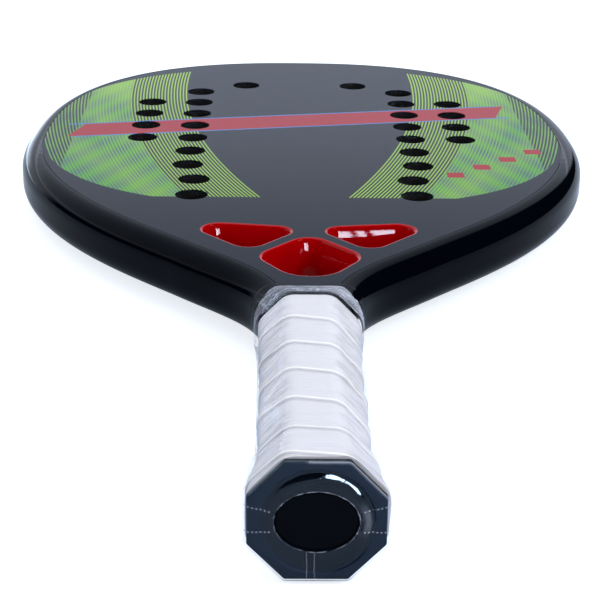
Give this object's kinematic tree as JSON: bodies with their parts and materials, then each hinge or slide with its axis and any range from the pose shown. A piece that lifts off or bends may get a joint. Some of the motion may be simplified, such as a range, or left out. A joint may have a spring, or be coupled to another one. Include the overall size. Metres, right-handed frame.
{
  "type": "beach tennis racket",
  "caption": "Solid-face beach tennis racket with a drilled foam-core head, a throat with rounded triangular openings, and an octagonal handle with a wound overgrip under clear film.",
  "frame": {"origin": "middle of the badge's outer face on the butt", "axes": "+Y along the racket from the butt to the tip, +Z out of the upper face, +X to the right across the head"},
  "size_m": [0.25, 0.4915, 0.0376],
  "materials": {
    "lacquer": "gloss black lacquer over composite",
    "composite": "bare fibre composite",
    "core_foam": "dark closed-cell foam",
    "face_skin": "satin charcoal with printed lines",
    "red_lacquer": "high gloss red",
    "pallet": "moulded rigid foam",
    "cap_plastic": "moulded, dark slate",
    "badge": "gloss black",
    "cushion": "soft cushion tape",
    "overgrip": "smooth tacky synthetic, near white",
    "film": "clear shrink film"
  },
  "bodies": {
    "root": {"frame_tube": "lacquer", "bridge_tube": "composite", "throat_core": "lacquer", "foam_core": "core_foam", "face_skin_top": "face_skin", "face_skin_bottom": "face_skin", "opening_liner_left": "red_lacquer", "opening_liner_middle": "red_lacquer", "opening_liner_right": "red_lacquer", "handle_core": "core_foam", "handle_pallet_upper": "pallet", "handle_pallet_lower": "pallet", "butt_cap": "cap_plastic", "butt_badge": "badge", "base_grip": "cushion", "overgrip": "overgrip", "clear_film": "film"}
  },
  "joints": []
}
